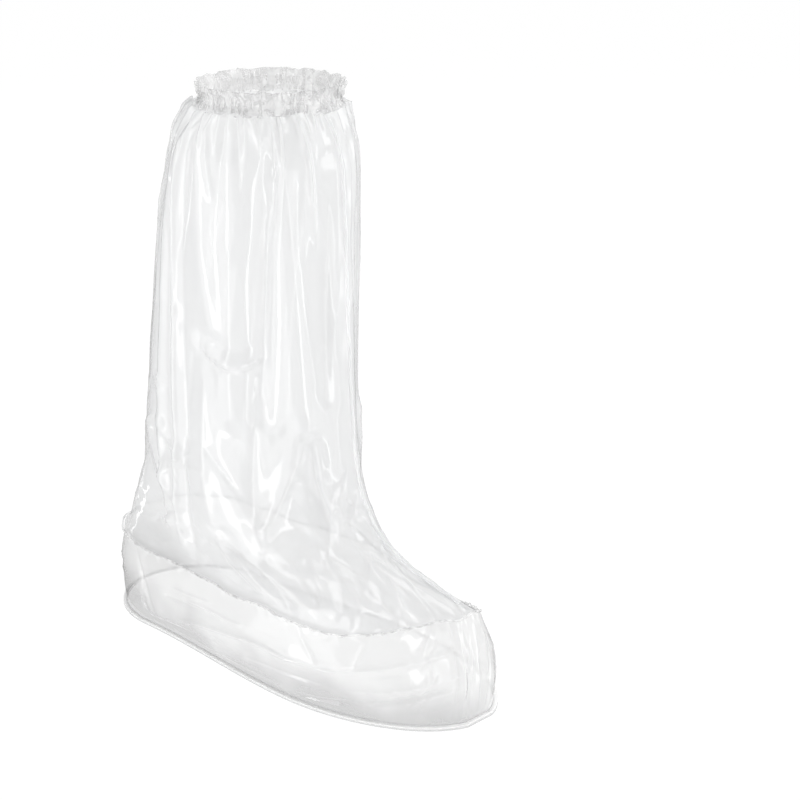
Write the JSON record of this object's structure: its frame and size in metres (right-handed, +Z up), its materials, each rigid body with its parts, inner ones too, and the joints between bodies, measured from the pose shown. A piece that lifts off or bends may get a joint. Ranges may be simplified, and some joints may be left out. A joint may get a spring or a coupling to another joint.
{
  "type": "clear film boot cover",
  "caption": "Knee-high over-boot cover of clear plastic film: flat sole, upright foot band, wide leg and an elasticated ruffled collar",
  "frame": {"origin": "on the floor, at the middle of the length and width of the whole part", "axes": "+X to the toe, +Y to the wearer's left, +Z up the leg"},
  "size_m": [0.388, 0.1588, 0.457],
  "materials": {
    "clear_film": "clear gloss film, wrinkled",
    "sole_film": "clear film, lightly scuffed",
    "welded_film": "heat-welded film edge",
    "elastic": "thin covered elastic"
  },
  "bodies": {
    "root": {"sole": "sole_film", "sole_weld": "welded_film", "foot_band": "clear_film", "band_weld": "welded_film", "leg_film": "clear_film", "shin_weld": "welded_film", "collar_casing": "clear_film", "elastic_band": "elastic"}
  },
  "joints": []
}
